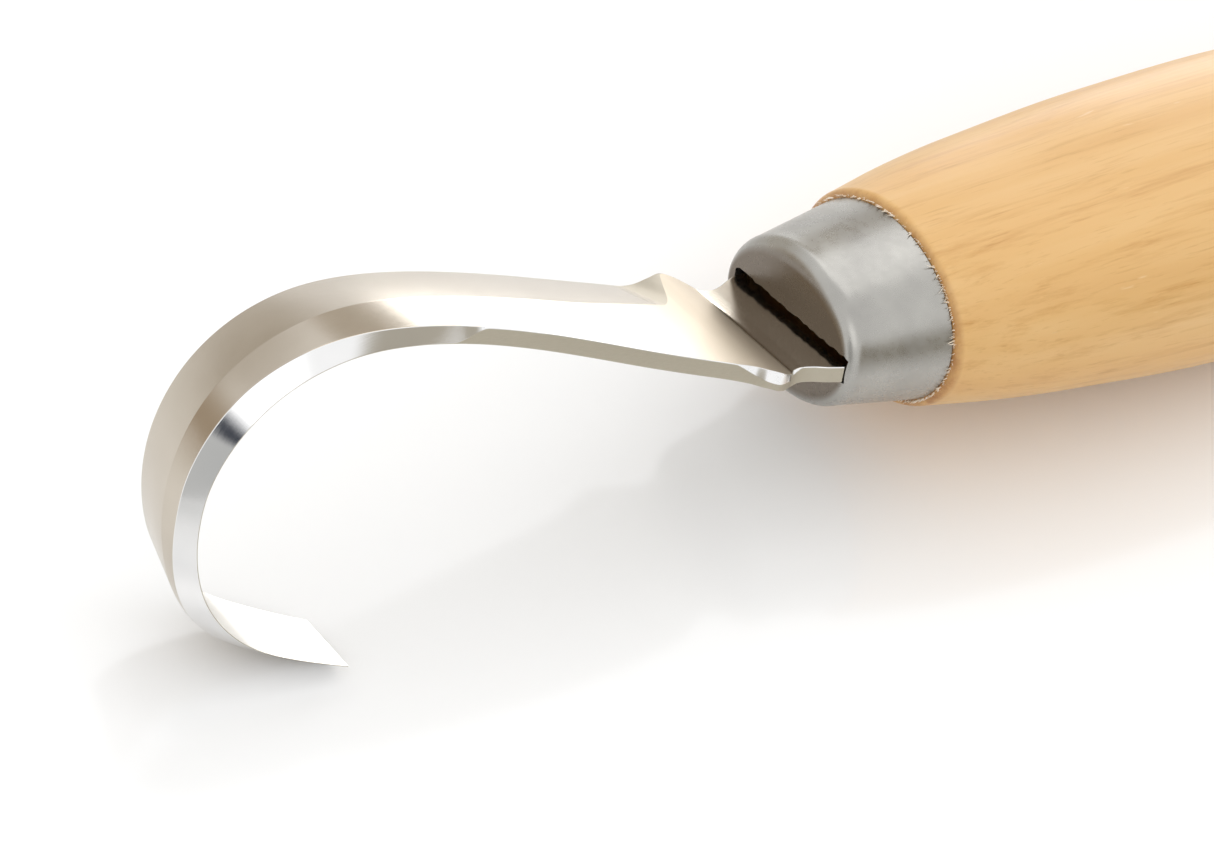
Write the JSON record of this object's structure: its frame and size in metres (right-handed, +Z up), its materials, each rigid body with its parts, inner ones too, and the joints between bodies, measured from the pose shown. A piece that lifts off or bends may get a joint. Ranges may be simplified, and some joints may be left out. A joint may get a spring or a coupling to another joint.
{
  "type": "hook knife",
  "caption": "Hook knife for hollowing wood: a steel strip bent into a hook, a pressed ferrule and an oval birch handle.",
  "frame": {"origin": "under the middle of the knife's box, on the surface that the knife lies on", "axes": "+X runs along the knife from the hook to the butt, +Z is up, and Y is across the blade strip; the knife lies as it rests on a table, leaning 13 degrees about X onto its ground edge"},
  "size_m": [0.169, 0.0272, 0.0254],
  "materials": {
    "blade_steel": "satin with ground and polished bevels",
    "ferrule_steel": "satin pressed stainless",
    "birch": "oiled birch",
    "adhesive": "cured, matte"
  },
  "bodies": {
    "root": {"blade": "blade_steel", "ferrule": "ferrule_steel", "handle": "birch", "tang_bedding": "adhesive"}
  },
  "joints": []
}
